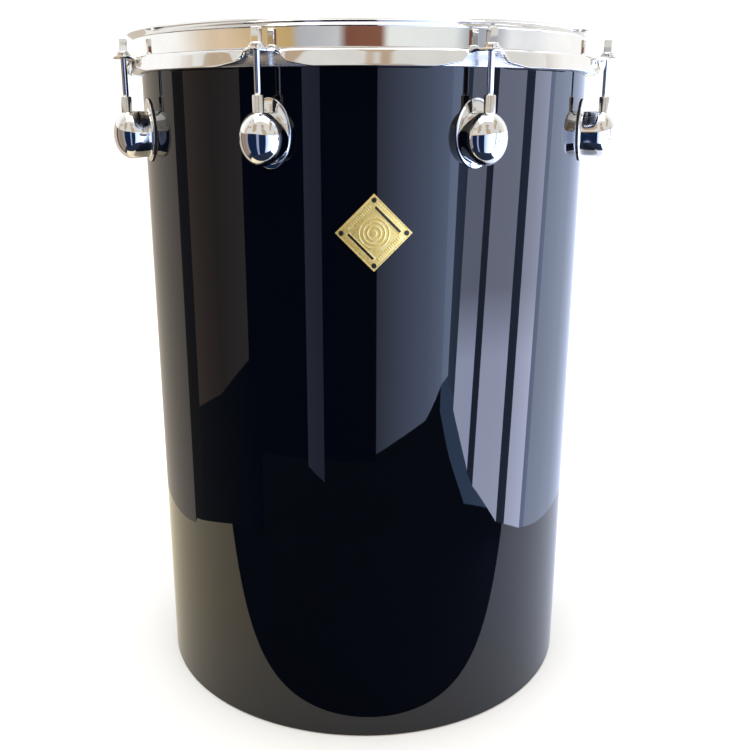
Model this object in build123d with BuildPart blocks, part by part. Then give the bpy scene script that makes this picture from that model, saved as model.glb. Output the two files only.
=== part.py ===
"""Upright single-headed bass drum: a tall gloss black shell with eight bubble lugs under a chromed rim.

The origin is at the centre of the shell's bottom edge, +Z is up and the badge faces -Y. Millimetres.
Lug n stands at azimuth 22.5 + 45 (n - 1) degrees, counted anticlockwise from the badge, seen from above.
"""

import os
from math import asin, degrees

from build123d import *

# Driving dimensions
shell_diameter = 406.4  # 16 inch, over the wrap
shell_height = 597.0
shell_wall = 7.5
lug_count = 8
rod_offset = 19.0  # from the shell's surface to the axis of a tension rod
lug_height = 525.0  # centre of a lug above the floor
hoop_sheet = 2.3

# Shell
wrap_thickness = 0.7
wrap_bottom = 0.8
wrap_top = 592.5
shell_radius = shell_diameter / 2
wood_radius = shell_radius - wrap_thickness
bore_radius = wood_radius - shell_wall
edge_crest_radius = wood_radius - 2.7  # middle of the bearing edge's narrow flat
edge_crest_width = 1.0
edge_roundover = 3.0
foot_chamfer = 1.0

# Head
film_thickness = 0.4
film_gap = 0.3  # between the film and the shell
collar_radius = shell_radius + film_gap  # inside of the film where it hangs over the shell
flesh_hoop_bottom = 572.8
flesh_hoop_top = 583.3
flesh_hoop_inner = collar_radius + film_thickness + 0.05
flesh_hoop_outer = shell_radius + 8.3
flesh_hoop_sheet = 1.6

# Counter hoop, along the inner face of its sheet: lip, wall, ledge, skirt
hoop_top = 606.0
hoop_lip = (shell_radius + 9.4, hoop_top)
hoop_lip_root = (shell_radius + 3.0, hoop_top - 4.6)
hoop_wall_foot = (shell_radius + 3.0, flesh_hoop_top + 0.9)
hoop_ledge_edge = (shell_radius + 9.4, flesh_hoop_top + 0.2)
hoop_skirt_foot = (shell_radius + 12.0, 572.0)
ear_top = 585.2
ear_tip_radius = 9.8
ear_root_half_width = 15.0
ear_root_radius = flesh_hoop_outer + 0.4
ear_hole_radius = 3.2
scallop_steep = (16.8, 575.6)  # half width and height where the skirt's edge turns up into the ear
scallop_gentle = (43.0, 572.0)  # half width and height where it leaves the level edge

# Tension rods
rod_radius = shell_radius + rod_offset
shank_radius = 2.5
rod_thread_radius = 2.74
rod_length = 58.0  # under the head
rod_thread_length = 25.0
washer_thickness = 1.5
washer_radius = 6.3
washer_hole_radius = 2.9
rod_collar_radius = 5.2
rod_collar_height = 2.2
rod_key_side = 6.35  # quarter inch square for the drum key
rod_head_top = 599.8
rod_crown = 0.8  # height of the domed end of the square
rod_head_underside = ear_top + washer_thickness + 0.1

# Lugs
gasket_thickness = 1.0
flange_thickness = 2.0
flange_half_width, flange_half_height = 17.3, 26.3
dome_half_width, dome_half_height = 16.9, 20.2
dome_depth = 31.0
dome_wall = 3.0
dome_height = lug_height - 3.3  # the dome sits a little below the flange's centre
facet_height = 540.2  # flat spot face that the swivel nut stands out of
facet_radius = 7.0
nut_top = 552.8
nut_radius = 4.45
nut_flange_radius = 5.6
nut_flange_height = 3.0
nut_bottom = 526.0
nut_hole_radius = nut_radius + 0.15
nut_bore_radius = rod_thread_radius + 0.05
cavity_top = facet_height - 3.5

# Cutting bodies that reach well past the lugs and the badge
cut_low, cut_high = 400, 650
cut_outside = shell_radius + 60
blank_start = shell_radius - 6  # where the lug, gasket and badge blanks begin, inside the shell's surface
blank_length = 12

# Lug screws, in pairs from inside the shell
screw_heights = (lug_height + 9.0, lug_height - 16.0)
screw_radius = 2.0
screw_reach = 8.0  # beyond the shell's surface
boss_radius = 4.5
boss_reach = 10.5
screw_head_radius = 4.0
screw_head_height = 2.8
screw_washer_radius = 5.5
screw_washer_thickness = 1.0
seat_distance = (bore_radius**2 - screw_washer_radius**2) ** 0.5  # a flat washer inside the round bore

# Badge
badge_height = 451.5
badge_side = 42.7
badge_thickness = 1.0
badge_corner_radius = 1.5
inlay_length, inlay_width, inlay_depth = 27.0, 1.7, 0.5
inlay_offset = 14.6  # from the badge's centre
badge_pin_offset = 25.0  # from the badge's centre towards each corner
badge_pin_radius = 1.0
badge_pin_head_radius = 2.0
badge_pin_head_height = 0.6
badge_pin_reach = 5.0  # into the shell
badge_pin_turn = degrees(asin(badge_pin_offset / shell_radius))


def outward(distance, height):
    """A plane that faces the front: x to the right, y up, this far from the drum's axis."""
    return Plane(origin=(0, -distance, height), x_dir=(1, 0, 0), z_dir=(0, -1, 0))


def tube(inner_radius, outer_radius, bottom, top):
    """A plain tube about the drum's axis."""
    with BuildPart(mode=Mode.PRIVATE) as wall:
        with BuildSketch(Plane.XY.offset(bottom)):
            Circle(outer_radius)
            Circle(inner_radius, mode=Mode.SUBTRACT)
        extrude(amount=top - bottom)
    return wall.part


def spoke(radius, start, end, height, turn=0.0):
    """A round bar that points outward at the front, between two distances from the drum's axis."""
    with BuildPart(mode=Mode.PRIVATE) as bar:
        with BuildSketch(outward(start, height)):
            Circle(radius)
        extrude(amount=end - start)
    return bar.part.rotate(Axis.Z, turn)


def egg(inset, foot):
    """The lug's dome, made smaller by inset all round, starting this far from the drum's axis."""
    half_height = dome_half_height - inset
    half_width = dome_half_width - inset
    tip = shell_radius + dome_depth - inset
    shoulder = (-shell_radius - 0.4 * dome_depth, 0.985 * half_height)
    brow = (-shell_radius - 0.88 * dome_depth + inset, 0.6 * half_height)
    with BuildPart(mode=Mode.PRIVATE) as dome:
        with BuildSketch(Plane.YZ):
            with BuildLine():
                Polyline((-tip, 0), (-foot, 0), (-foot, half_height), shoulder)
                Spline(shoulder, brow, (-tip, 0), tangents=((-1, -0.05), (0, -1)))
            make_face()
        revolve(axis=Axis((0, 0, 0), (0, -1, 0)))
    flattened = scale(dome.part, by=(half_width / half_height, 1, 1))
    return Pos(0, 0, dome_height) * flattened


def save(part, name):
    part.label = name
    export_step(part, f"parts/{name}.step")


def azimuths():
    return [(number + 0.5) * 360 / lug_count for number in range(lug_count)]


def save_all_round(part, name):
    """One node for each lug position, numbered anticlockwise from the badge."""
    for number, azimuth in enumerate(azimuths(), start=1):
        save(part.rotate(Axis.Z, azimuth), f"{name}_{number}")


def save_group(pieces, name):
    """Separate copies of the given pieces at every lug, as one node."""
    save(Compound(children=[piece.rotate(Axis.Z, turn) for turn in azimuths() for piece in pieces]), name)


os.makedirs("parts", exist_ok=True)

screw_holes = [
    spoke(screw_radius, 150, shell_radius + 5, height, turn) for height in screw_heights for turn in azimuths()
]
pin_places = [
    (badge_height + badge_pin_offset, 0),
    (badge_height - badge_pin_offset, 0),
    (badge_height, badge_pin_turn),
    (badge_height, -badge_pin_turn),
]
pin_holes = [
    spoke(badge_pin_radius, shell_radius - badge_pin_reach, shell_radius + 5, height, turn)
    for height, turn in pin_places
]

# Shell: plywood tube with a double-cut bearing edge above and a plain edge below
with BuildPart() as shell:
    with BuildSketch(Plane.XZ):
        with BuildLine():
            crest_in = edge_crest_radius - edge_crest_width / 2
            crest_out = edge_crest_radius + edge_crest_width / 2
            shoulder_height = shell_height - edge_roundover
            Polyline(
                (crest_out, shell_height),
                (crest_in, shell_height),
                (bore_radius, shell_height - (crest_in - bore_radius)),
                (bore_radius, foot_chamfer),
                (bore_radius + foot_chamfer, 0),
                (wood_radius - foot_chamfer, 0),
                (wood_radius, foot_chamfer),
                (wood_radius, shoulder_height),
            )
            ThreePointArc(
                (wood_radius, shoulder_height),
                (wood_radius - 0.25 * edge_roundover, shell_height - 0.3 * edge_roundover),
                (crest_out, shell_height),
            )
        make_face()
    revolve(axis=Axis.Z)
    for hole in screw_holes + pin_holes:
        add(hole, mode=Mode.SUBTRACT)
save(shell.part, "shell")

# Wrap: thin gloss skin over the tube
with BuildPart() as shell_wrap:
    add(tube(wood_radius, shell_radius, wrap_bottom, wrap_top))
    for hole in screw_holes + pin_holes:
        add(hole, mode=Mode.SUBTRACT)
save(shell_wrap.part, "shell_wrap")

# Counter hoop: bent sheet with eight ears over scallops in the skirt
with BuildPart() as ear:
    with BuildSketch(Plane.XY.offset(ear_top - hoop_sheet)):
        with Locations((0, -rod_radius)):
            Circle(ear_tip_radius)
        with Locations((0, -ear_root_radius)):
            Rectangle(2 * ear_root_half_width, 2)
        make_hull()
        with Locations((0, -rod_radius)):
            Circle(ear_hole_radius, mode=Mode.SUBTRACT)
        Circle(ear_root_radius, mode=Mode.SUBTRACT)
    extrude(amount=hoop_sheet)

with BuildPart() as scallop:
    with BuildSketch(outward(ear_root_radius, 0)):
        with BuildLine():
            Polyline(
                (-scallop_gentle[0], scallop_gentle[1] - 3),
                (-scallop_gentle[0], scallop_gentle[1]),
                (-scallop_steep[0], scallop_steep[1]),
                (-ear_root_half_width, ear_top - hoop_sheet),
                (ear_root_half_width, ear_top - hoop_sheet),
                (scallop_steep[0], scallop_steep[1]),
                (scallop_gentle[0], scallop_gentle[1]),
                (scallop_gentle[0], scallop_gentle[1] - 3),
                close=True,
            )
        make_face()
    extrude(amount=10, both=True)

with BuildPart() as counter_hoop:
    with BuildSketch(Plane.XZ):
        with BuildLine():
            FilletPolyline(hoop_lip, hoop_lip_root, hoop_wall_foot, hoop_ledge_edge, hoop_skirt_foot, radius=0.6)
            offset(amount=hoop_sheet, side=Side.LEFT, closed=True)
        make_face()
    revolve(axis=Axis.Z)
    for azimuth in azimuths():
        add(scallop.part.rotate(Axis.Z, azimuth), mode=Mode.SUBTRACT)
    for azimuth in azimuths():
        add(ear.part.rotate(Axis.Z, azimuth))
save(counter_hoop.part, "counter_hoop")

# Head: film over the bearing edge, and the folded flesh hoop that grips it
with BuildPart() as head_film:
    with BuildSketch(Plane.XZ):
        with BuildLine():
            underside = shell_height + film_gap
            Line((0, underside), (crest_out, underside))
            ThreePointArc(
                (crest_out, underside),
                (collar_radius - 0.75, underside - 1.2),
                (collar_radius, underside - 4.0),
            )
            Line((collar_radius, underside - 4.0), (collar_radius, flesh_hoop_bottom + flesh_hoop_sheet))
            offset(amount=film_thickness, side=Side.LEFT, closed=True)
        make_face()
    revolve(axis=Axis.Z)
save(head_film.part, "head_film")

with BuildPart() as head_flesh_hoop:
    add(tube(flesh_hoop_inner, flesh_hoop_outer, flesh_hoop_bottom, flesh_hoop_top))
    groove = tube(
        flesh_hoop_inner + flesh_hoop_sheet,
        flesh_hoop_outer - flesh_hoop_sheet,
        flesh_hoop_bottom + flesh_hoop_sheet,
        flesh_hoop_top + 1,
    )
    add(groove, mode=Mode.SUBTRACT)
save(head_flesh_hoop.part, "head_flesh_hoop")

# Lug: hollow dome on an oval flange, with two screw bosses and a slot for the swivel nut
outer_dome = egg(0, blank_start)
inner_dome = egg(dome_wall, blank_start)

with BuildPart() as cavity:
    add(inner_dome)
    split(bisect_by=Plane.XY.offset(cavity_top), keep=Keep.BOTTOM)
    for height in screw_heights:
        add(spoke(boss_radius, shell_radius - 10, shell_radius + boss_reach, height), mode=Mode.SUBTRACT)

with BuildPart() as lug:
    with BuildSketch(outward(blank_start, lug_height)):
        Ellipse(flange_half_width, flange_half_height)
    extrude(amount=blank_length)
    add(tube(shell_radius + flange_thickness, cut_outside, cut_low, cut_high), mode=Mode.SUBTRACT)
    add(outer_dome)
    add(cavity.part, mode=Mode.SUBTRACT)
    with BuildSketch(Plane.XY):
        Circle(shell_radius + gasket_thickness)
    extrude(amount=shell_height, mode=Mode.SUBTRACT)
    for height in screw_heights:
        add(spoke(screw_radius, 150, shell_radius + screw_reach + 0.5, height), mode=Mode.SUBTRACT)
    with BuildSketch(Plane.XY.offset(facet_height)):
        with Locations((0, -rod_radius)):
            Circle(facet_radius)
    extrude(amount=20, mode=Mode.SUBTRACT)
    with BuildSketch(Plane.XY.offset(cavity_top - 1)):
        with Locations((0, -rod_radius)):
            Circle(nut_hole_radius)
    extrude(amount=20, mode=Mode.SUBTRACT)
    with BuildSketch(Plane.XY.offset(cavity_top - nut_flange_height - 1)):
        with Locations((0, -rod_radius)):
            Circle(nut_flange_radius + 0.3)
    extrude(amount=nut_flange_height + 1, mode=Mode.SUBTRACT)
save_all_round(lug.part, "lug")

# Gaskets: thin oval sheets between the lugs and the shell
with BuildPart() as gasket:
    with BuildSketch(outward(blank_start, lug_height)):
        Ellipse(flange_half_width, flange_half_height)
    extrude(amount=blank_length)
    add(tube(shell_radius + gasket_thickness, cut_outside, cut_low, cut_high), mode=Mode.SUBTRACT)
    with BuildSketch(Plane.XY):
        Circle(shell_radius)
    extrude(amount=shell_height, mode=Mode.SUBTRACT)
    for height in screw_heights:
        add(spoke(screw_radius, 150, shell_radius + 20, height), mode=Mode.SUBTRACT)
save_group([gasket.part], "lug_gaskets")

# Swivel nut: long sleeve with a flange that bears under the facet
with BuildPart() as swivel_nut:
    with BuildSketch(Plane.XZ):
        with BuildLine():
            Polyline(
                (nut_bore_radius, nut_bottom),
                (nut_radius, nut_bottom),
                (nut_radius, cavity_top - nut_flange_height),
                (nut_flange_radius, cavity_top - nut_flange_height),
                (nut_flange_radius, cavity_top),
                (nut_radius, cavity_top),
                (nut_radius, nut_top - 0.6),
                (nut_radius - 0.6, nut_top),
                (nut_bore_radius, nut_top),
                close=True,
            )
        make_face()
    revolve(axis=Axis.Z)
save_all_round(Pos(0, -rod_radius, 0) * swivel_nut.part, "swivel_nut")

# Tension rod: square key head and collar over a shank with a thicker threaded end
with BuildPart() as tension_rod:
    with BuildSketch(Plane.XZ):
        with BuildLine():
            tip = rod_head_underside - rod_length
            Polyline(
                (0, tip),
                (rod_thread_radius - 0.8, tip),
                (rod_thread_radius, tip + 0.8),
                (rod_thread_radius, tip + rod_thread_length),
                (shank_radius, tip + rod_thread_length + 0.5),
                (shank_radius, rod_head_underside),
                (rod_collar_radius, rod_head_underside),
                (rod_collar_radius, rod_head_underside + 0.6 * rod_collar_height),
                (rod_collar_radius - 0.9, rod_head_underside + rod_collar_height),
                (0, rod_head_underside + rod_collar_height),
                close=True,
            )
        make_face()
    revolve(axis=Axis.Z)
    with BuildSketch(Plane.XY.offset(rod_head_underside + rod_collar_height)):
        Rectangle(rod_key_side, rod_key_side)
    extrude(amount=rod_head_top - rod_head_underside - rod_collar_height)
    chamfer(tension_rod.faces().sort_by(Axis.Z)[-1].edges(), rod_crown)
save_all_round(Pos(0, -rod_radius, 0) * tension_rod.part, "tension_rod")

with BuildPart() as tension_rod_washer:
    with BuildSketch(Plane.XY.offset(ear_top)):
        with Locations((0, -rod_radius)):
            Circle(washer_radius)
            Circle(washer_hole_radius, mode=Mode.SUBTRACT)
    extrude(amount=washer_thickness)
save_group([tension_rod_washer.part], "tension_rod_washers")

# Lug screws and their washers, driven outward from inside the shell
screws = []
screw_washers = []
for height in screw_heights:
    with BuildPart() as screw:
        head_seat = seat_distance - screw_washer_thickness
        with BuildSketch(outward(head_seat - screw_head_height, height)):
            Circle(screw_head_radius)
        extrude(amount=screw_head_height)
        fillet(screw.edges().sort_by(Axis.Y)[-1], 1.2)
        with BuildSketch(outward(head_seat, height)):
            Circle(screw_radius - 0.05)
        extrude(amount=shell_radius + screw_reach - head_seat)
        with BuildSketch(outward(head_seat - screw_head_height, height)):
            Rectangle(3.0, 0.8)
            Rectangle(0.8, 3.0)
        extrude(amount=1.4, mode=Mode.SUBTRACT)
    screws.append(screw.part)
    with BuildPart() as screw_washer:
        with BuildSketch(outward(head_seat, height)):
            Circle(screw_washer_radius)
            Circle(screw_radius + 0.2, mode=Mode.SUBTRACT)
        extrude(amount=screw_washer_thickness)
    screw_washers.append(screw_washer.part)
save_group(screws, "lug_screws")
save_group(screw_washers, "lug_screw_washers")

# Badge: curved diamond plate with two dark bars let in and four pins
badge_face = shell_radius + badge_thickness
with BuildPart() as inlay_bar:
    with BuildSketch(outward(blank_start, badge_height)):
        for side in (1, -1):
            with Locations(Location((side * inlay_offset / 2**0.5, side * inlay_offset / 2**0.5, 0), (0, 0, -45))):
                Rectangle(inlay_length, inlay_width)
    extrude(amount=blank_length)
    add(tube(badge_face, cut_outside, cut_low, cut_high), mode=Mode.SUBTRACT)
    with BuildSketch(Plane.XY):
        Circle(badge_face - inlay_depth)
    extrude(amount=shell_height, mode=Mode.SUBTRACT)
save(inlay_bar.part, "badge_inlays")

with BuildPart() as badge_plate:
    with BuildSketch(outward(blank_start, badge_height)):
        RectangleRounded(badge_side, badge_side, badge_corner_radius, rotation=45)
    extrude(amount=blank_length)
    add(tube(badge_face, cut_outside, cut_low, cut_high), mode=Mode.SUBTRACT)
    with BuildSketch(Plane.XY):
        Circle(shell_radius)
    extrude(amount=shell_height, mode=Mode.SUBTRACT)
    add(inlay_bar.part, mode=Mode.SUBTRACT)
    for height, turn in pin_places:
        hole = spoke(badge_pin_radius, shell_radius - 5, shell_radius + 5, height, turn)
        add(hole, mode=Mode.SUBTRACT)
save(badge_plate.part, "badge_plate")

pins = []
for height, turn in pin_places:
    with BuildPart() as badge_pin:
        add(spoke(badge_pin_radius - 0.05, shell_radius - badge_pin_reach + 0.2, badge_face, height))
        with BuildSketch(outward(badge_face, height)):
            Circle(badge_pin_head_radius)
        extrude(amount=badge_pin_head_height)
        fillet(badge_pin.edges().sort_by(Axis.Y)[0], 0.35)
    pins.append(badge_pin.part.rotate(Axis.Z, turn))
save(Compound(children=pins), "badge_pins")
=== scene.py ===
"""Looks of the upright bass drum: gloss black shell, chromed rim, bubble lugs and a gold diamond badge."""

from math import asin, cos, floor, hypot, pi, radians, sin, sqrt

import bpy
from mathutils import Matrix, Vector


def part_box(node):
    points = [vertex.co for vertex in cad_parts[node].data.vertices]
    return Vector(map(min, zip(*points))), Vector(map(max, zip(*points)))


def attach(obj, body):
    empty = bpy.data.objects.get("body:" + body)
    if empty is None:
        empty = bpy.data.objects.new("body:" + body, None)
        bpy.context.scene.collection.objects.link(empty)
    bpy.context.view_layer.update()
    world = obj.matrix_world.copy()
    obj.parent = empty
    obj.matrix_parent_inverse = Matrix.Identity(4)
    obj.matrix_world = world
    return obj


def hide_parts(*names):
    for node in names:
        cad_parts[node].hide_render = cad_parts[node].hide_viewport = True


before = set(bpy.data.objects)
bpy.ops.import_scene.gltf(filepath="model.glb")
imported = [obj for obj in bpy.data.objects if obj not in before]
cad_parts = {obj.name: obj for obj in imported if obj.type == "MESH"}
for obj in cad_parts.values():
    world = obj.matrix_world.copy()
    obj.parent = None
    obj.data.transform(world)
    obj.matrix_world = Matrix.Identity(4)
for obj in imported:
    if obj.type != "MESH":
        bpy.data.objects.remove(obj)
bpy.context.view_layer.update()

MM = 0.001
LUGS = 8
AZIMUTHS = [radians((n + 0.5) * 360 / LUGS) for n in range(LUGS)]

# Sizes read from the frame, in millimetres
SHELL_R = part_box("shell_wrap")[1][0] / MM
SHELL_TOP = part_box("shell")[1][2] / MM
WRAP_LOW, WRAP_TOP = (corner[2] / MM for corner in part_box("shell_wrap"))
HOOP_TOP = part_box("counter_hoop")[1][2] / MM
HOOP_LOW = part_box("counter_hoop")[0][2] / MM
EAR_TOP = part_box("tension_rod_washers")[0][2] / MM
LUG_MID = (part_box("lug_1")[0][2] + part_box("lug_1")[1][2]) / 2 / MM
NUT_LOW, NUT_TOP = (corner[2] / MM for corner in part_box("swivel_nut_1"))
ROD_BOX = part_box("tension_rod_1")
ROD_LOW, ROD_TOP = (corner[2] / MM for corner in ROD_BOX)
ROD_R = hypot((ROD_BOX[0][0] + ROD_BOX[1][0]) / 2, (ROD_BOX[0][1] + ROD_BOX[1][1]) / 2) / MM
FLESH_LOW, FLESH_TOP = (corner[2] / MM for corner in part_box("head_flesh_hoop"))
FLESH_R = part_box("head_flesh_hoop")[1][0] / MM
BADGE_MID = (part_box("badge_plate")[0][2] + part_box("badge_plate")[1][2]) / 2 / MM
BADGE_HALF = (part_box("badge_plate")[1][2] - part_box("badge_plate")[0][2]) / 2 / MM
WRAP = 0.7  # thickness of the gloss skin
WALL = 7.5  # thickness of the wooden tube
WOOD_R = SHELL_R - WRAP
BORE_R = WOOD_R - WALL
CREST = WOOD_R - 2.7  # middle of the bearing edge
SHEET = 2.3  # thickness of the hoop's metal


# ---------------------------------------------------------------- mesh helpers

def smoothstep(low, high, value):
    t = min(max((value - low) / (high - low), 0.0), 1.0)
    return t * t * (3 - 2 * t)


def mesh_object(name, vertices, faces, sharp=None):
    """A shown mesh object with smooth shading, from points in millimetres."""
    mesh = bpy.data.meshes.new(name)
    mesh.from_pydata([(x * MM, y * MM, z * MM) for x, y, z in vertices], [], faces)
    mesh.validate()
    mesh.update()
    mesh.shade_smooth()
    if sharp is not None:
        mesh.set_sharp_from_angle(angle=radians(sharp))
    piece = bpy.data.objects.new(name, mesh)
    bpy.context.scene.collection.objects.link(piece)
    return piece


def grid_faces(rows, columns, wrap_rows=False, wrap_columns=True):
    faces = []
    for i in range(rows if wrap_rows else rows - 1):
        for j in range(columns if wrap_columns else columns - 1):
            a, b = i * columns + j, i * columns + (j + 1) % columns
            c, d = ((i + 1) % rows) * columns + (j + 1) % columns, ((i + 1) % rows) * columns + j
            faces.append((a, b, c, d))
    return faces


def lathe(name, profile, segments=64, closed=False, sharp=35):
    """A solid of revolution about Z from (radius, height) points, listed so that faces point outward."""
    vertices = []
    for radius, height in profile:
        for j in range(segments):
            turn = 2 * pi * j / segments
            vertices.append((radius * cos(turn), radius * sin(turn), height))
    faces = grid_faces(len(profile), segments, wrap_rows=closed)
    if not closed:
        if profile[0][0] > 0.01:
            faces.append(tuple(reversed(range(segments))))
        if profile[-1][0] > 0.01:
            last = (len(profile) - 1) * segments
            faces.append(tuple(last + j for j in range(segments)))
    return mesh_object(name, vertices, faces, sharp)


def rounded(points, radius, steps=5):
    """The points of an open line with each inner corner rounded by a quadratic curve."""
    out = [points[0]]
    for before, corner, after in zip(points, points[1:], points[2:]):
        a, b, c = Vector(before), Vector(corner), Vector(after)
        cut = min(radius, (a - b).length / 2.05, (c - b).length / 2.05)
        start, end = b + (a - b).normalized() * cut, b + (c - b).normalized() * cut
        for k in range(steps + 1):
            t = k / steps
            out.append(tuple((1 - t) ** 2 * start + 2 * t * (1 - t) * b + t * t * end))
    out.append(points[-1])
    return out


def copies(piece, name, body_name, nodes, material):
    """Puts a linked copy of the piece at every lug; each rides on its body and replaces its node."""
    piece.data.materials.append(material)
    for n, azimuth in enumerate(AZIMUTHS, start=1):
        if n < LUGS:
            copy = bpy.data.objects.new(f"{name}_{n}", piece.data)
            bpy.context.scene.collection.objects.link(copy)
        else:
            copy = piece
            copy.name = f"{name}_{n}"
        copy.matrix_world = Matrix.Rotation(azimuth, 4, "Z")
        bpy.context.view_layer.update()
        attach(copy, body_name.format(n=n))
        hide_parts(nodes.format(n=n))


def finish_piece(piece, body, node, material):
    """Gives the piece its material, the body it rides on and the CAD node it stands for."""
    piece.data.materials.append(material)
    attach(piece, body)
    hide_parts(node)


# ---------------------------------------------------------------- materials

class Shader:
    """A small wrapper that makes node materials shorter to write."""

    def __init__(self, name):
        self.material = bpy.data.materials.new(name)
        self.material.use_nodes = True
        self.nodes = self.material.node_tree.nodes
        self.links = self.material.node_tree.links
        self.surface = self.nodes["Principled BSDF"]
        self.place = self.nodes.new("ShaderNodeTexCoord").outputs["Object"]

    def set(self, **values):
        for key, value in values.items():
            self.surface.inputs[key.replace("_", " ")].default_value = value
        return self

    def stretch(self, scale):
        mapping = self.nodes.new("ShaderNodeMapping")
        mapping.inputs["Scale"].default_value = scale
        self.links.new(self.place, mapping.inputs["Vector"])
        return mapping.outputs["Vector"]

    def noise(self, scale, detail=4.0, roughness=0.5, distortion=0.0, vector=None):
        node = self.nodes.new("ShaderNodeTexNoise")
        node.inputs["Scale"].default_value = scale
        node.inputs["Detail"].default_value = detail
        node.inputs["Roughness"].default_value = roughness
        node.inputs["Distortion"].default_value = distortion
        self.links.new(vector or self.place, node.inputs["Vector"])
        return node.outputs["Fac"]

    def ramp(self, value, low, high, to_low, to_high):
        """The value mapped from one range to another, clamped at both ends."""
        node = self.nodes.new("ShaderNodeMapRange")
        for key, number in (("From Min", low), ("From Max", high), ("To Min", to_low), ("To Max", to_high)):
            node.inputs[key].default_value = number
        self.links.new(value, node.inputs["Value"])
        return node.outputs["Result"]

    def mix(self, factor, first, second):
        """A blend of two colours, each given as numbers or as a node's output."""
        node = self.nodes.new("ShaderNodeMix")
        node.data_type = "RGBA"
        self.links.new(factor, node.inputs["Factor"])
        for socket, colour in ((node.inputs["A"], first), (node.inputs["B"], second)):
            if isinstance(colour, tuple):
                socket.default_value = (*colour, 1)
            else:
                self.links.new(colour, socket)
        return node.outputs["Result"]

    def into(self, key, output):
        self.links.new(output, self.surface.inputs[key])
        return self

    def bump(self, height, distance, strength):
        node = self.nodes.new("ShaderNodeBump")
        node.inputs["Strength"].default_value = strength
        node.inputs["Distance"].default_value = distance
        self.links.new(height, node.inputs["Height"])
        self.links.new(node.outputs["Normal"], self.surface.inputs["Normal"])
        return self


def black_gloss():
    s = Shader("black_gloss").set(IOR=1.52)
    s.into("Base Color", s.mix(s.noise(9), (0.0005, 0.0007, 0.0016), (0.0010, 0.0012, 0.0024)))
    s.into("Roughness", s.ramp(s.noise(26, 6), 0.3, 0.75, 0.012, 0.035))
    return s.bump(s.noise(60, 2), 0.00002, 0.35).material


def chrome(name="chrome", tint=(0.86, 0.85, 0.83), rough=0.035):
    s = Shader(name).set(Metallic=1.0)
    s.into("Base Color", s.mix(s.ramp(s.noise(45, 5), 0.35, 0.7, 0, 1), tint, tuple(0.93 * c for c in tint)))
    s.into("Roughness", s.ramp(s.noise(120, 8, 0.6), 0.35, 0.8, rough, rough * 2.6))
    return s.bump(s.noise(38, 2), 0.00006, 0.3).material


def steel():
    s = Shader("zinc_steel").set(Metallic=1.0)
    s.into("Base Color", s.mix(s.noise(300, 4), (0.5, 0.5, 0.48), (0.66, 0.65, 0.6)))
    s.into("Roughness", s.ramp(s.noise(500), 0.3, 0.7, 0.22, 0.42))
    return s.bump(s.noise(900), 0.00003, 0.4).material


def aluminium():
    s = Shader("rolled_aluminium").set(Metallic=1.0)
    s.into("Base Color", s.mix(s.noise(80, 5), (0.72, 0.72, 0.71), (0.84, 0.84, 0.83)))
    lines = s.noise(60, 3, vector=s.stretch((1, 1, 60)))
    s.into("Roughness", s.ramp(lines, 0.3, 0.7, 0.2, 0.38))
    return s.bump(lines, 0.00004, 0.4).material


def gold():
    s = Shader("satin_gold").set(Metallic=0.72)
    worn = s.ramp(s.noise(260, 6, 0.6), 0.42, 0.66, 0, 1)
    s.into("Base Color", s.mix(worn, (0.93, 0.68, 0.20), (1.0, 0.82, 0.34)))
    s.into("Roughness", s.ramp(s.noise(700, 5), 0.3, 0.75, 0.24, 0.42))
    return s.bump(s.noise(1500, 3), 0.00003, 0.5).material


def black_enamel():
    s = Shader("black_enamel").set(IOR=1.5)
    s.into("Base Color", s.mix(s.noise(400), (0.008, 0.008, 0.008), (0.02, 0.019, 0.018)))
    s.into("Roughness", s.ramp(s.noise(900), 0.3, 0.7, 0.12, 0.28))
    return s.material


def rubber():
    s = Shader("gasket_rubber").set(IOR=1.45)
    s.into("Base Color", s.mix(s.noise(500), (0.012, 0.012, 0.012), (0.03, 0.029, 0.028)))
    s.into("Roughness", s.ramp(s.noise(1200), 0.3, 0.7, 0.55, 0.8))
    return s.bump(s.noise(2500), 0.00005, 0.5).material


def plywood():
    s = Shader("plywood").set(IOR=1.45, Coat_Weight=0.25, Coat_Roughness=0.25)
    grain = s.noise(7, 8, 0.62, 0.6, vector=s.stretch((1, 1, 0.07)))
    fine = s.noise(90, 6, 0.7, vector=s.stretch((1, 1, 0.03)))
    tone = s.mix(s.ramp(grain, 0.3, 0.7, 0, 1), (0.33, 0.17, 0.075), (0.62, 0.4, 0.21))
    s.into("Base Color", s.mix(s.ramp(fine, 0.35, 0.7, 0, 0.45), tone, (0.25, 0.12, 0.05)))
    s.into("Roughness", s.ramp(fine, 0.3, 0.7, 0.32, 0.5))
    return s.bump(fine, 0.0002, 0.3).material


def coated_film():
    s = Shader("coated_film").set(IOR=1.5, Subsurface_Weight=0.1)
    s.into("Base Color", s.mix(s.noise(14, 5), (0.60, 0.59, 0.56), (0.68, 0.675, 0.655)))
    s.into("Roughness", s.ramp(s.noise(600), 0.3, 0.7, 0.42, 0.6))
    return s.bump(s.noise(1800, 3), 0.00008, 0.5).material


CHROME = chrome()
NUT = chrome("nut_plate", (0.74, 0.72, 0.68), 0.09)
STEEL = steel()
GOLD = gold()
ENAMEL = black_enamel()

# ---------------------------------------------------------------- shell

SKIN_EDGE = (0.25, 0.3)  # how far the skin's edges are eased, inward and along
skin_in, skin_up = SHELL_R - SKIN_EDGE[0], SKIN_EDGE[1]
wrap = lathe(
    "shell_skin",
    [(WOOD_R, WRAP_LOW), (skin_in, WRAP_LOW), (SHELL_R, WRAP_LOW + skin_up), (SHELL_R, WRAP_TOP - skin_up),
     (skin_in, WRAP_TOP), (WOOD_R, WRAP_TOP)],
    segments=720, closed=True, sharp=15)
finish_piece(wrap, "shell", "shell_wrap", black_gloss())

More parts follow.
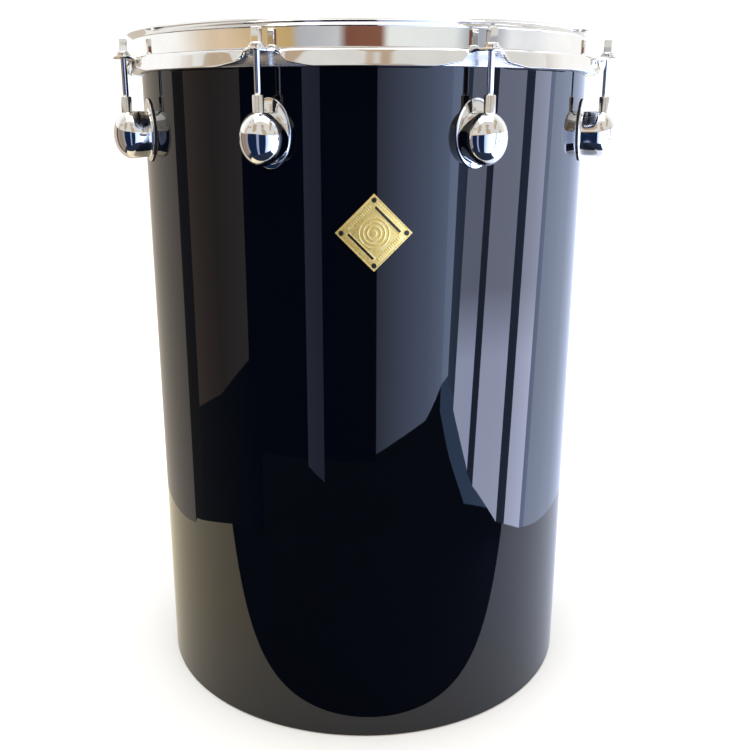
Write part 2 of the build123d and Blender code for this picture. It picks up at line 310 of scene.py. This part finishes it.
FOOT = 0.9  # chamfer round the open bottom edge
crest_in, crest_out = CREST - 0.5, CREST + 0.5
tube = lathe(
    "shell_tube",
    rounded([(BORE_R, 20), (BORE_R, FOOT), (BORE_R + FOOT, 0), (WOOD_R - FOOT, 0), (WOOD_R, FOOT),
             (WOOD_R, SHELL_TOP - 3.2), (WOOD_R - 0.8, SHELL_TOP - 0.8), (crest_out, SHELL_TOP),
             (crest_in, SHELL_TOP), (BORE_R, SHELL_TOP - (crest_in - BORE_R)), (BORE_R, 560), (BORE_R, 21)],
            0.5, 3),
    segments=360, closed=True, sharp=12)
finish_piece(tube, "shell", "shell", plywood())

# ---------------------------------------------------------------- counter hoop

# Places on the middle of the hoop's sheet
LEDGE = FLESH_TOP + 1.3
HOOP_WALL = SHELL_R + 4.15
HOOP_RIM = SHELL_R + 10.4
LEDGE_RIM = SHELL_R + 10.2
SKIRT_FOOT = (SHELL_R + 13.1, HOOP_LOW + 0.5)
LIP = rounded([(HOOP_RIM, HOOP_TOP - 0.6), (HOOP_WALL, HOOP_TOP - 4.8), (HOOP_WALL, LEDGE + 6)], 1.3, 6)
EAR_REACH = ROD_R + 9.8 - SHEET / 2
EAR_LEVEL = EAR_TOP - SHEET / 2
EAR_ROOT = LEDGE_RIM + 1.2
EAR_HALF = 15.0
SCALLOP_RISE = 3.6  # how far the skirt's edge rises towards an ear before it turns up


def hoop_row(offset):
    """Middle of the hoop's sheet at an angle from the nearest ear, from the lip down to the free edge."""
    across = HOOP_RIM * sin(abs(offset))
    turned_up = 1 - smoothstep(10.0, 21.0, across)
    gentle = 1 - smoothstep(14.0, 42.0, across)
    flare = max(0.0, 1 - (across / EAR_HALF) ** 2) ** 1.3
    edge = (SKIRT_FOOT[0], SKIRT_FOOT[1] + SCALLOP_RISE * gentle)
    corner = (LEDGE_RIM, LEDGE - 0.3)
    ear = (EAR_ROOT + (EAR_REACH - EAR_ROOT) * flare, EAR_LEVEL)
    end = tuple(turned_up * e + (1 - turned_up) * s for e, s in zip(ear, edge))
    bend = tuple(turned_up * e + (1 - turned_up) * s for e, s in zip((LEDGE_RIM, EAR_LEVEL), corner))
    line = rounded([(HOOP_WALL, LEDGE + 4), (HOOP_WALL, LEDGE), bend, end], 1.6, 6)
    tail = [tuple(Vector(line[-2]).lerp(Vector(line[-1]), k / 8)) for k in range(1, 9)]
    return LIP + line[1:-1] + tail


def make_hoop():
    """The stamped rim: one bent sheet whose skirt turns up into an ear at every lug."""
    columns = 1920
    spacing = 2 * pi / LUGS
    azimuths = [2 * pi * j / columns for j in range(columns)]
    lines = [hoop_row(azimuth % spacing - spacing / 2) for azimuth in azimuths]
    vertices = []
    for row in zip(*lines):
        for azimuth, (radius, height) in zip(azimuths, row):
            vertices.append((radius * sin(azimuth), -radius * cos(azimuth), height))
    faces = [tuple(reversed(face)) for face in grid_faces(len(lines[0]), columns)]
    piece = mesh_object("rim", vertices, faces)
    solid = piece.modifiers.new("sheet", "SOLIDIFY")
    solid.thickness = SHEET * MM
    solid.offset = 0
    soften = piece.modifiers.new("edge", "BEVEL")
    soften.width = 0.8 * MM
    soften.segments = 3
    soften.limit_method = "ANGLE"
    soften.angle_limit = radians(55)
    return piece


finish_piece(make_hoop(), "hoop", "counter_hoop", CHROME)

# ---------------------------------------------------------------- head

GAP, FILM = 0.3, 0.4  # clearance over the shell, and the film's thickness
UNDER, OVER = SHELL_TOP + GAP, SHELL_TOP + GAP + FILM
COLLAR, COLLAR_OUT = SHELL_R + GAP, SHELL_R + GAP + FILM
COLLAR_FOOT = FLESH_LOW + 1.7
RINGS = (150, 100, 50, 0.02)
film = lathe(
    "drum_head",
    [(COLLAR, COLLAR_FOOT), (COLLAR_OUT, COLLAR_FOOT)]
    + rounded([(COLLAR_OUT, FLESH_TOP), (COLLAR_OUT, UNDER - 2.2), (COLLAR - 1.2, OVER - 0.1), (CREST, OVER)],
              2.2, 6)
    + [(radius, OVER) for radius in RINGS]
    + [(radius, UNDER) for radius in reversed(RINGS)]
    + rounded([(CREST, UNDER), (COLLAR - 1.5, UNDER - 0.2), (COLLAR, UNDER - 2.6), (COLLAR, FLESH_TOP)],
              2.0, 6),
    segments=256, closed=True)
finish_piece(film, "hoop", "head_film", coated_film())

FLESH_IN = COLLAR + 0.45
CHANNEL = 1.6  # wall of the flesh hoop's channel
channel_in, channel_out, channel_floor = FLESH_IN + CHANNEL, FLESH_R - CHANNEL, FLESH_LOW + CHANNEL
flesh = lathe(
    "flesh_ring",
    rounded([(channel_in, FLESH_TOP - 3), (channel_in, FLESH_TOP), (FLESH_IN, FLESH_TOP),
             (FLESH_IN, FLESH_LOW), (FLESH_R, FLESH_LOW), (FLESH_R, FLESH_TOP), (channel_out, FLESH_TOP),
             (channel_out, channel_floor), (channel_in, channel_floor), (channel_in, FLESH_TOP - 3.2)],
            0.6, 4),
    segments=360, closed=True)
finish_piece(flesh, "hoop", "head_flesh_hoop", aluminium())

# ---------------------------------------------------------------- lugs, nuts and rods

FLANGE = (17.3, 26.3)  # half width and half height
DOME = (16.9, 20.2)
DOME_DROP = 3.3  # the dome's centre lies this far below the flange's
DOME_DEPTH = 31.0
CHEEK = 16.5  # where the dome begins to close, from the shell
FACET = 15.2  # height of the spot face above the flange's centre
SPOT = (6.6, 7.4)  # where the spot face begins to fade and where it ends, from the rod's axis


def make_lug():
    """Bubble lug at the front: oval flange, nearly straight sides and an egg-shaped cap with a spot face."""
    around = 160
    cap_steps = 36
    flange = [(0.992, 0.95), (0.995, 1.3), (0.988, 1.68), (0.975, 1.82), (0.962, 1.85)]
    dome = [(0.972, 1.87), (0.956, 2.1), (0.948, 3.4), (0.955, 6), (0.975, 10), (0.99, 13.5)]
    for k in range(cap_steps + 1):
        slope = k / cap_steps * pi / 2
        dome.append((cos(slope) ** 0.94, CHEEK + (DOME_DEPTH - CHEEK) * sin(slope)))
    vertices = []
    for line, half, drop in ((flange, FLANGE, 0), (dome, DOME, DOME_DROP)):
        for size, height in line:
            for j in range(around):
                turn = 2 * pi * j / around
                x = half[0] * size * cos(turn)
                y = -sqrt(SHELL_R ** 2 - x ** 2) - height
                z = half[1] * size * sin(turn) - drop
                if z > FACET:
                    z += (FACET - z) * (1 - smoothstep(*SPOT, hypot(x, -y - ROD_R)))
                vertices.append((x, y, z + LUG_MID))
    return mesh_object("bubble_lug", vertices, grid_faces(len(flange) + len(dome), around), 60)


copies(make_lug(), "bubble_lug", "shell", "lug_{n}", CHROME)

NUT_R, NUT_BORE = 4.45, 2.8
nut = lathe(
    "nut_sleeve",
    [(NUT_BORE, NUT_LOW), (NUT_R, NUT_LOW), (NUT_R, NUT_TOP - 0.7), (NUT_R - 0.15, NUT_TOP - 0.3),
     (NUT_R - 0.55, NUT_TOP), (NUT_BORE + 0.3, NUT_TOP), (NUT_BORE, NUT_TOP - 0.4)],
    segments=64, closed=True)
for vertex in nut.data.vertices:
    vertex.co.y -= ROD_R * MM
copies(nut, "nut_sleeve", "shell", "swivel_nut_{n}", NUT)

THREAD_PITCH = 25.4 / 24
THREAD_LENGTH = 25.0
THREAD_ROOT, THREAD_DEPTH = 2.32, 0.42
SHANK = 2.5
KEY_HALF = 3.175  # half of the quarter inch square for the drum key
COLLAR_LOW = EAR_TOP + 1.6
COLLAR_TURNED = ((2.7, 0), (4.8, 0), (5.2, 0.35), (5.2, 1.2), (5.0, 1.7), (4.5, 2.05), (4.4, 2.2))
KEY_LOW = COLLAR_LOW + COLLAR_TURNED[-1][1]


def make_rod():
    """Tension rod at the front: helical thread, shank, turned collar and square key head with a domed end."""
    around = 48
    rows = []

    def circle(radius, height):
        rows.append([(radius * cos(2 * pi * j / around), radius * sin(2 * pi * j / around), height)
                     for j in range(around)])

    def square(half, height):
        """A square with slightly rounded corners."""
        row = []
        for j in range(around):
            turn = 2 * pi * (j + 0.5) / around
            reach = half / (abs(cos(turn)) ** 14 + abs(sin(turn)) ** 14) ** (1 / 14)
            row.append((reach * cos(turn), reach * sin(turn), height))
        rows.append(row)

    circle(1.6, ROD_LOW)
    steps = int(THREAD_LENGTH / THREAD_PITCH * 8)
    for i in range(steps + 1):
        height = ROD_LOW + 0.3 + i * THREAD_LENGTH / steps
        fade = min(1.0, i / 6, (steps - i) / 6)
        row = []
        for j in range(around):
            turns = (height - ROD_LOW) / THREAD_PITCH - j / around
            tooth = abs(2 * (turns - floor(turns)) - 1)
            radius = THREAD_ROOT + THREAD_DEPTH * fade * tooth
            row.append((radius * cos(2 * pi * j / around), radius * sin(2 * pi * j / around), height))
        rows.append(row)
    circle(SHANK, ROD_LOW + THREAD_LENGTH + 0.8)
    circle(SHANK, COLLAR_LOW - 0.3)
    for radius, height in COLLAR_TURNED:
        circle(radius, COLLAR_LOW + height)
    square(KEY_HALF, KEY_LOW)
    square(KEY_HALF, KEY_LOW + 0.2)
    for size, depth in ((1, 1.0), (0.96, 0.6), (0.86, 0.3), (0.68, 0.12), (0.4, 0.03), (0.01, 0.0)):
        square(KEY_HALF * size, ROD_TOP - depth)
    vertices = [(x, y - ROD_R, z) for row in rows for x, y, z in row]
    faces = grid_faces(len(rows), around)
    faces.append(tuple(reversed(range(around))))
    return mesh_object("key_rod", vertices, faces, 38)


copies(make_rod(), "key_rod", "rod_{n}", "tension_rod_{n}", CHROME)

# ---------------------------------------------------------------- badge

BADGE_T = 1.0
BAR_PLACE, BAR_LONG, BAR_WIDE = 14.6, 27.0, 1.7
FLUTE_PLACE, FLUTE_HALF, FLUTE_REACH, FLUTE_PITCH = 16.4, 1.5, 12.5, 1.9
RING_RADII = (5.2, 8.4, 11.6)
BADGE_SIDE = BADGE_HALF / sqrt(2) * 1.012  # half a side; the CAD plate's corners are rounded off a little


def badge_height(p, q):
    """Relief of the badge's face; p runs across the two dark bars, q along them."""
    to_edge = BADGE_SIDE - max(abs(p), abs(q))
    relief = -0.35 * (1 - smoothstep(0.0, 0.5, to_edge))
    relief -= 0.12 * smoothstep(1.1, 1.35, to_edge) * (1 - smoothstep(2.0, 2.25, to_edge))
    bar = max(abs(abs(p) - BAR_PLACE) - BAR_WIDE / 2, abs(q) - BAR_LONG / 2)
    relief -= 0.62 * (1 - smoothstep(0.0, 0.12, bar))
    relief += 0.16 * smoothstep(0.12, 0.3, bar) * (1 - smoothstep(0.75, 0.95, bar))
    strip = max(abs(abs(q) - FLUTE_PLACE) - FLUTE_HALF, abs(p) - FLUTE_REACH)
    relief += 0.14 * (1 - smoothstep(-0.35, 0.0, strip)) * (0.5 + 0.5 * cos(2 * pi * p / FLUTE_PITCH))
    radius = hypot(p, q)
    for place in RING_RADII:
        relief += 0.17 * (1 - smoothstep(0.35, 0.75, abs(radius - place)))
    relief += 0.2 * (1 - smoothstep(1.9, 2.6, radius))
    return relief


def make_badge():
    """The badge's plate, bent round the shell, as one fine grid with its relief."""
    cells = 190
    vertices = []
    for i in range(cells + 1):
        for j in range(cells + 1):
            p, q = BADGE_SIDE * (2 * i / cells - 1), BADGE_SIDE * (2 * j / cells - 1)
            x, z = (p - q) / sqrt(2), (p + q) / sqrt(2)
            rim = i in (0, cells) or j in (0, cells)
            reach = SHELL_R + (0.02 if rim else BADGE_T + badge_height(p, q))
            turn = asin(x / SHELL_R)
            vertices.append((reach * sin(turn), -reach * cos(turn), BADGE_MID + z))
    faces = [tuple(reversed(face)) for face in grid_faces(cells + 1, cells + 1, wrap_columns=False)]
    return mesh_object("badge_face", vertices, faces)


finish_piece(make_badge(), "shell", "badge_plate", GOLD)

# ---------------------------------------------------------------- CAD pieces that stay

for node, material in (
    ("lug_gaskets", rubber()), ("lug_screws", STEEL), ("lug_screw_washers", STEEL),
    ("tension_rod_washers", CHROME), ("badge_inlays", ENAMEL), ("badge_pins", ENAMEL),
):
    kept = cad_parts[node]
    for place in kept.material_slots:
        place.material = material

# ---------------------------------------------------------------- stage, light and camera


def plain_floor(name, colour, rough, spread):
    """A matte floor whose colour drifts a little, between the colour and spread times it."""
    s = Shader(name).set(Specular_IOR_Level=0.2, Roughness=rough)
    s.into("Base Color", s.mix(s.noise(6, 3), colour, tuple(spread * c for c in colour)))
    return s.material


def tinted_floor():
    """The floor that the shell mirrors: warm on the left, cool on the right."""
    s = Shader("tinted_floor").set(Specular_IOR_Level=0.2, Roughness=0.7)
    split = s.nodes.new("ShaderNodeSeparateXYZ")
    s.links.new(s.place, split.inputs[0])
    side = s.ramp(split.outputs["X"], -0.3, 0.3, 0, 1)
    s.into("Base Color", s.mix(side, (0.74, 0.655, 0.48), (0.62, 0.68, 0.85)))
    return s.material


def ground(name, low, high, height, material):
    """A level rectangle between two corners."""
    vertices = [(low[0], low[1], height), (high[0], low[1], height), (high[0], high[1], height),
                (low[0], high[1], height)]
    piece = mesh_object(name, vertices, [(0, 1, 2, 3)])
    piece.data.materials.append(material)
    return piece


def only_in_mirrors(piece):
    """Hides the piece from everything but reflections."""
    for ray in ("camera", "diffuse", "shadow", "transmission"):
        setattr(piece, f"visible_{ray}", False)


FLOOR = 40000  # half the side of the pale floor
ROOM_FLOOR = 9000  # half the side of the floors that only show in mirrors
FRONT_EDGE = -230.0  # the mirrored floor is dark in front of this line
ground("floor", (-FLOOR, -FLOOR), (FLOOR, FLOOR), -0.05,
       plain_floor("pale_floor", (0.86, 0.86, 0.85), 0.6, 0.97))
only_in_mirrors(ground("floor_round", (-ROOM_FLOOR, FRONT_EDGE), (ROOM_FLOOR, ROOM_FLOOR), 0.1,
                       tinted_floor()))
only_in_mirrors(ground("floor_front", (-ROOM_FLOOR, -ROOM_FLOOR), (ROOM_FLOOR, FRONT_EDGE), 0.2,
                       plain_floor("dark_floor", (0.004, 0.012, 0.034), 0.8, 0.8)))


def area(name, place, aim, size, power, colour):
    """A soft rectangular lamp that the camera doesn't see."""
    light = bpy.data.lights.new(name, "AREA")
    light.shape = "RECTANGLE"
    light.size, light.size_y = size
    light.energy = power
    light.color = colour
    lamp = bpy.data.objects.new(name, light)
    bpy.context.scene.collection.objects.link(lamp)
    lamp.location = place
    lamp.rotation_euler = (Vector(aim) - Vector(place)).to_track_quat("-Z", "Y").to_euler()
    lamp.visible_camera = False


def glow():
    """Plain light, coloured by the card's own points."""
    material = bpy.data.materials.new("glow")
    material.use_nodes = True
    nodes = material.node_tree.nodes
    surface = nodes["Principled BSDF"]
    surface.inputs["Base Color"].default_value = (0, 0, 0, 1)
    surface.inputs["Specular IOR Level"].default_value = 0
    surface.inputs["Emission Strength"].default_value = 1.0
    colour = nodes.new("ShaderNodeAttribute")
    colour.attribute_name = "glow"
    material.node_tree.links.new(colour.outputs["Color"], surface.inputs["Emission Color"])
    return material


GLOW = glow()
CARD_RING = 570.0
BACK_RING = 1.03 * CARD_RING  # cards that stand behind the others
CARD_TOP = 592.0
FADE_START, FADE_END = 240.0, 330.0
LEAN = 7.5  # degrees, from the cards' tops to the floor


def card(name, first, last, fade=1.0, ring=CARD_RING):
    """An upright curved card round the drum that shows only in reflections.

    first and last are (azimuth in degrees, height of the lower edge, colour) at its two ends. Above FADE_END
    the colour is multiplied by fade. The cards on the right lean a little.
    """
    steps = 10
    vertices, colours = [], []
    leaning_from, leaning_to = (24, 44), (95, 115)
    for row, strength in enumerate((1, 1, fade, fade)):
        for k in range(steps + 1):
            t = k / steps
            azimuth = first[0] + (last[0] - first[0]) * t
            low = first[1] + (last[1] - first[1]) * t
            height = (low, max(low, FADE_START), max(low, FADE_END), CARD_TOP)[row]
            lean = LEAN * smoothstep(*leaning_from, azimuth) * (1 - smoothstep(*leaning_to, azimuth))
            turn = radians(azimuth - lean * (1 - height / CARD_TOP))
            reach = ring * (1 - 0.13 * smoothstep(50, 110, abs(azimuth)))
            vertices.append((reach * sin(turn), -reach * cos(turn), height))
            colours.extend((*(strength * (a + (b - a) * t) for a, b in zip(first[2], last[2])), 1.0))
    piece = mesh_object(name, vertices, grid_faces(4, steps + 1, wrap_columns=False))
    piece.data.color_attributes.new("glow", "FLOAT_COLOR", "POINT").data.foreach_set("color", colours)
    piece.data.materials.append(GLOW)
    only_in_mirrors(piece)


SOOT, NAVY, DEEP = (0.08, 0.08, 0.08), (0.008, 0.02, 0.062), (0.22, 0.30, 0.52)
SLATE, SILL, DAYLIGHT = (1.3, 1.6, 2.5), (0.5, 0.8, 1.5), (5.0, 5.7, 8.2)

# What stands round the drum, anticlockwise: a pale wall, dark furniture, a grey wall and tall bright windows
ROOM = (
    ("wall_left", (-160, 1, (0.70, 0.63, 0.52)), (-92, 1, (0.66, 0.58, 0.50))),
    ("post_left", (-92, 1, SOOT), (-84, 60, SOOT)),
    ("curtain_warm", (-84, 170, (0.40, 0.31, 0.25)), (-69, 190, (0.30, 0.24, 0.21))),
    ("curtain_dim", (-69, 190, (0.27, 0.22, 0.20)), (-53, 240, (0.42, 0.38, 0.38))),
    ("dark_left", (-53, 120, NAVY), (-26, 120, NAVY)),
    ("gleam", (-26, 110, (0.36, 0.42, 0.64)), (-19, 90, (0.30, 0.34, 0.56))),
    ("dark_middle", (-19, 120, NAVY), (3, 120, NAVY)),
    ("grey_wall", (3, 130, (0.55, 0.64, 0.95)), (24, 170, (1.35, 1.70, 2.70))),
    ("grey_bright", (24, 170, (1.35, 1.70, 2.70)), (33, 215, (1.9, 2.4, 3.8))),
    ("post_pale", (33, 215, (2.3, 3.0, 4.6)), (37.2, 225, (2.6, 3.3, 5.0))),
    ("bar_1", (37.2, 215, (0.5, 0.7, 1.2)), (41.8, 200, (0.4, 0.55, 1.0))),
    ("window_1", (41.8, 180, (5.4, 6.0, 8.2)), (50.8, 94, DAYLIGHT), 0.4),
    ("bar_2", (50.8, 90, DEEP), (54.2, 70, DEEP)),
    ("window_2", (54.2, 70, (5.2, 5.7, 7.9)), (68.9, 14, (4.6, 5.1, 7.0)), 0.5),
    ("bar_3", (68.9, 14, DEEP), (74.0, 10, DEEP)),
    ("window_3", (74.0, 10, (4.8, 5.2, 7.0)), (84.7, 1, (4.6, 5.0, 6.8)), 0.7),
    ("bar_4", (84.7, 1, SLATE), (88.0, 1, SLATE)),
    ("window_side", (88.0, 1, (2.0, 2.3, 3.2)), (106, 1, (1.3, 1.55, 2.1))),
    ("wall_right", (106, 1, (1.25, 1.45, 1.95)), (160, 1, (1.0, 1.1, 1.4))),
)
for entry in ROOM:
    card(*entry)
card("backing_left", (-94, 1, SOOT), (-48, 1, NAVY), ring=BACK_RING)
card("sill_1", (33, 175, SILL), (50.8, 40, SILL), ring=BACK_RING)
card("sill_2", (50.8, 40, SILL), (92, 1, SILL), ring=BACK_RING)

area("top_soft", (0.0, -0.3, 2.4), (0, 0, 0.4), (2.4, 2.0), 24, (1.0, 0.99, 0.97))


def sun(name, strength, tilt):
    """Broad even daylight that mirrors don't show."""
    light = bpy.data.lights.new(name, "SUN")
    light.energy = strength
    light.angle = radians(120)
    lamp = bpy.data.objects.new(name, light)
    bpy.context.scene.collection.objects.link(lamp)
    lamp.rotation_euler = (radians(tilt), 0, 0)
    lamp.visible_glossy = False


sun("daylight", 1.7, 12)


# What the bright rim sees above the cards, by azimuth from the front: beige, orange, grey, brown, white, grey
WALLS = (
    (-170, (0.95, 0.95, 0.93)), (-120, (0.80, 0.72, 0.60)), (-70, (0.80, 0.62, 0.44)),
    (-48, (0.66, 0.48, 0.24)), (-36, (0.60, 0.42, 0.18)), (-32, (0.50, 0.52, 0.56)),
    (-14, (0.62, 0.64, 0.66)), (-10, (0.22, 0.09, 0.06)), (6, (0.26, 0.11, 0.07)), (9, (0.93, 0.97, 0.95)),
    (40, (0.90, 0.94, 0.95)), (48, (0.42, 0.45, 0.50)), (62, (0.48, 0.50, 0.56)), (70, (0.94, 0.97, 1.0)),
    (120, (0.85, 0.88, 0.95)), (170, (0.95, 0.95, 0.96)),
)


def make_world():
    """White behind the drum; a warm, dimmer room in front of it, darkest low down."""
    world = bpy.data.worlds.new("studio")
    bpy.context.scene.world = world
    world.use_nodes = True
    nodes, links = world.node_tree.nodes, world.node_tree.links
    out = nodes["Background"]
    direction = nodes.new("ShaderNodeTexCoord").outputs["Generated"]
    split = nodes.new("ShaderNodeSeparateXYZ")
    links.new(direction, split.inputs[0])

    def band(source, low, high):
        """Rises smoothly from 0 to 1 between two values."""
        node = nodes.new("ShaderNodeMapRange")
        node.interpolation_type = "SMOOTHSTEP"
        node.inputs["From Min"].default_value = low
        node.inputs["From Max"].default_value = high
        links.new(source, node.inputs["Value"])
        return node.outputs["Result"]

    def mix(factor, first, second):
        node = nodes.new("ShaderNodeMix")
        node.data_type = "RGBA"
        links.new(factor, node.inputs["Factor"])
        for socket, colour in ((node.inputs["A"], first), (node.inputs["B"], second)):
            if isinstance(colour, tuple):
                socket.default_value = (*colour, 1)
            else:
                links.new(colour, socket)
        return node.outputs["Result"]

    backward = nodes.new("ShaderNodeMath")
    backward.operation = "MULTIPLY"
    backward.inputs[1].default_value = -1
    links.new(split.outputs["Y"], backward.inputs[0])
    around = nodes.new("ShaderNodeMath")
    around.operation = "ARCTAN2"
    links.new(split.outputs["X"], around.inputs[0])
    links.new(backward.outputs[0], around.inputs[1])
    to_ramp = nodes.new("ShaderNodeMapRange")
    to_ramp.inputs["From Min"].default_value = -pi
    to_ramp.inputs["From Max"].default_value = pi
    links.new(around.outputs[0], to_ramp.inputs["Value"])
    walls = nodes.new("ShaderNodeValToRGB")
    links.new(to_ramp.outputs["Result"], walls.inputs["Fac"])
    stops = walls.color_ramp.elements
    for degrees_round, colour in WALLS:
        stop = stops.new((degrees_round + 180) / 360)
        stop.color = (*colour, 1)
    stops.remove(stops[0])
    stops.remove(stops[-1])
    patches = nodes.new("ShaderNodeTexNoise")
    patches.inputs["Scale"].default_value = 2.6
    patches.inputs["Detail"].default_value = 2.0
    links.new(direction, patches.inputs["Vector"])
    high = mix(band(patches.outputs["Fac"], 0.56, 0.6), (0.80, 0.79, 0.76), (0.55, 0.42, 0.30))
    room = mix(band(split.outputs["Z"], 0.16, 0.2), walls.outputs["Color"], high)
    room = mix(band(split.outputs["Z"], -0.09, -0.06), (0.03, 0.03, 0.035), room)
    sky = mix(band(split.outputs["Y"], -0.25, 0.35), room, (1.15, 1.15, 1.15))
    links.new(sky, out.inputs["Color"])


make_world()

camera_data = bpy.data.cameras.new("camera")
camera = bpy.data.objects.new("camera", camera_data)
bpy.context.scene.collection.objects.link(camera)
bpy.context.scene.camera = camera
camera_data.sensor_width = 36
camera_data.lens = 44.3
camera_data.shift_x = 0.0149
camera_data.clip_start = 0.01
SIDESTEP = radians(2.18)
PITCH = radians(16.13)
REACH, EYE = 0.911, 0.5434
camera.location = (-REACH * sin(SIDESTEP), -REACH * cos(SIDESTEP), EYE)
camera.rotation_euler = (pi / 2 - PITCH, 0, -SIDESTEP)

bpy.context.scene.view_settings.view_transform = "Standard"
